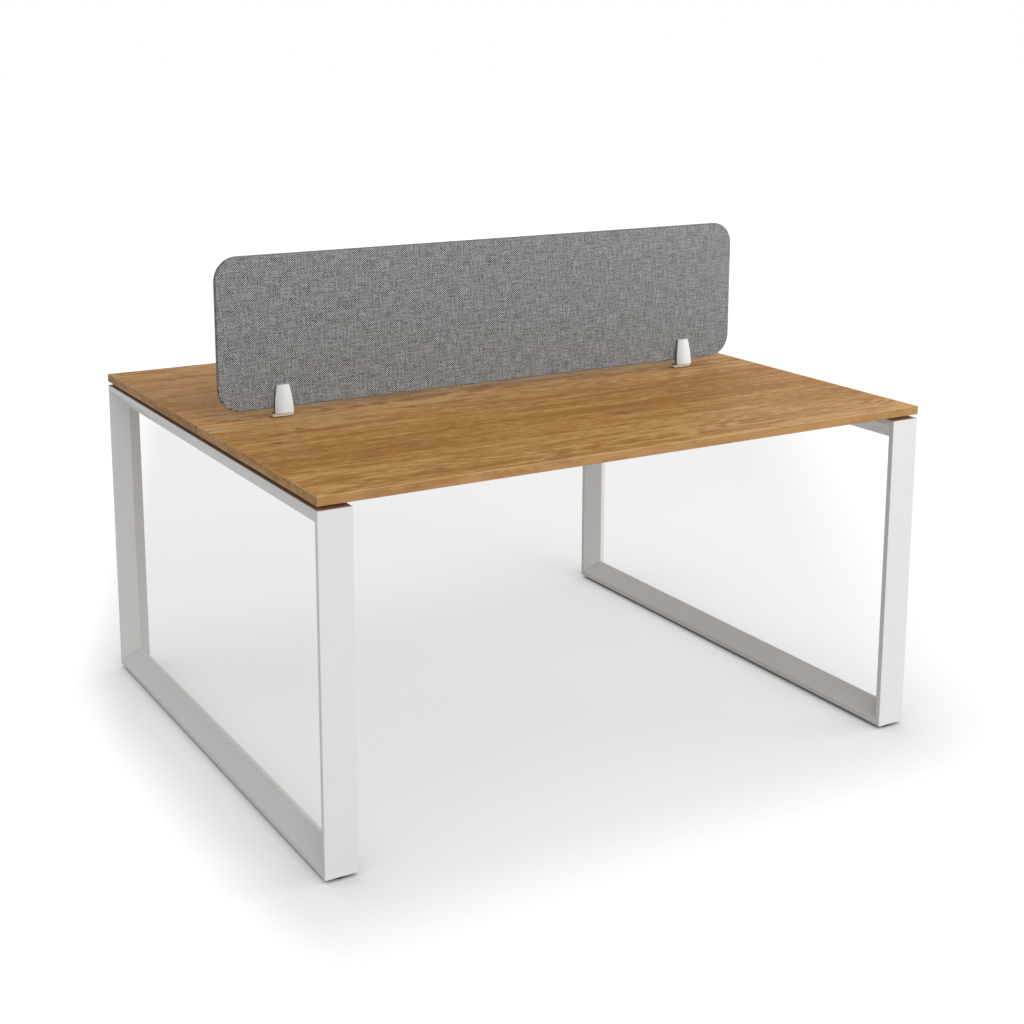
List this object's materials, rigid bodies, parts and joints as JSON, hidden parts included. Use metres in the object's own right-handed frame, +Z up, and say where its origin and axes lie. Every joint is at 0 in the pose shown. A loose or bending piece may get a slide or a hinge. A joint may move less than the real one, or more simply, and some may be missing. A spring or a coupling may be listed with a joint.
{
  "type": "benching desk with screen",
  "caption": "Shared bench desk with wood-look tops on mitred hoop frames of ridged tube, with levelling feet and a grey fabric screen clamped on the middle seam.",
  "frame": {"origin": "on the floor, under the middle of the desk", "axes": "+X along the desk's length to the right, +Y from the front user to the rear user, +Z up"},
  "size_m": [1.4, 1.2, 1.065],
  "materials": {
    "oak_facing": "satin",
    "oak_band": "satin",
    "silver_coat": "satin",
    "black_coat": "satin",
    "zinc_steel": "satin",
    "black_plastic": "matte",
    "grey_fabric": "matte",
    "raw_board": "matte",
    "cast_aluminium": "satin"
  },
  "bodies": {
    "desk": {"front_top_board": "oak_facing", "front_top_band_user": "oak_band", "front_top_band_seam": "oak_band", "front_top_band_left": "oak_band", "front_top_band_right": "oak_band", "rear_top_board": "oak_facing", "rear_top_band_user": "oak_band", "rear_top_band_seam": "oak_band", "rear_top_band_left": "oak_band", "rear_top_band_right": "oak_band", "left_frame_bottom_rail": "silver_coat", "left_frame_front_leg": "silver_coat", "left_frame_top_rail": "silver_coat", "left_frame_rear_leg": "silver_coat", "right_frame_bottom_rail": "silver_coat", "right_frame_front_leg": "silver_coat", "right_frame_top_rail": "silver_coat", "right_frame_rear_leg": "silver_coat", "foot_nut_front_left": "zinc_steel", "foot_nut_front_right": "zinc_steel", "foot_nut_rear_left": "zinc_steel", "foot_nut_rear_right": "zinc_steel", "left_rail_spacer_1": "black_plastic", "left_rail_spacer_2": "black_plastic", "left_rail_spacer_3": "black_plastic", "left_rail_spacer_4": "black_plastic", "right_rail_spacer_1": "black_plastic", "right_rail_spacer_2": "black_plastic", "right_rail_spacer_3": "black_plastic", "right_rail_spacer_4": "black_plastic", "front_beam": "black_coat", "front_beam_bracket_left": "black_coat", "front_beam_bracket_right": "black_coat", "front_beam_spacer_left": "black_plastic", "front_beam_spacer_right": "black_plastic", "rear_beam": "black_coat", "rear_beam_bracket_left": "black_coat", "rear_beam_bracket_right": "black_coat", "rear_beam_spacer_left": "black_plastic", "rear_beam_spacer_right": "black_plastic", "screen_core": "raw_board", "screen_cover": "grey_fabric", "left_clamp_front_jaw": "cast_aluminium", "left_clamp_rear_jaw": "cast_aluminium", "left_clamp_foot_plate": "cast_aluminium", "left_clamp_under_plate": "zinc_steel", "left_clamp_bolt": "zinc_steel", "right_clamp_front_jaw": "cast_aluminium", "right_clamp_rear_jaw": "cast_aluminium", "right_clamp_foot_plate": "cast_aluminium", "right_clamp_under_plate": "zinc_steel", "right_clamp_bolt": "zinc_steel"},
    "foot_front_left": {"foot_pad_front_left": "black_plastic", "foot_stud_front_left": "zinc_steel"},
    "foot_front_right": {"foot_pad_front_right": "black_plastic", "foot_stud_front_right": "zinc_steel"},
    "foot_rear_left": {"foot_pad_rear_left": "black_plastic", "foot_stud_rear_left": "zinc_steel"},
    "foot_rear_right": {"foot_pad_rear_right": "black_plastic", "foot_stud_rear_right": "zinc_steel"}
  },
  "joints": [
    {"name": "level_front_left", "type": "slide", "parent": "desk", "child": "foot_front_left", "axis": [0, 0, -1], "range_m": [0, 0.012]},
    {"name": "level_front_right", "type": "slide", "parent": "desk", "child": "foot_front_right", "axis": [0, 0, -1], "range_m": [0, 0.012]},
    {"name": "level_rear_left", "type": "slide", "parent": "desk", "child": "foot_rear_left", "axis": [0, 0, -1], "range_m": [0, 0.012]},
    {"name": "level_rear_right", "type": "slide", "parent": "desk", "child": "foot_rear_right", "axis": [0, 0, -1], "range_m": [0, 0.012]}
  ]
}
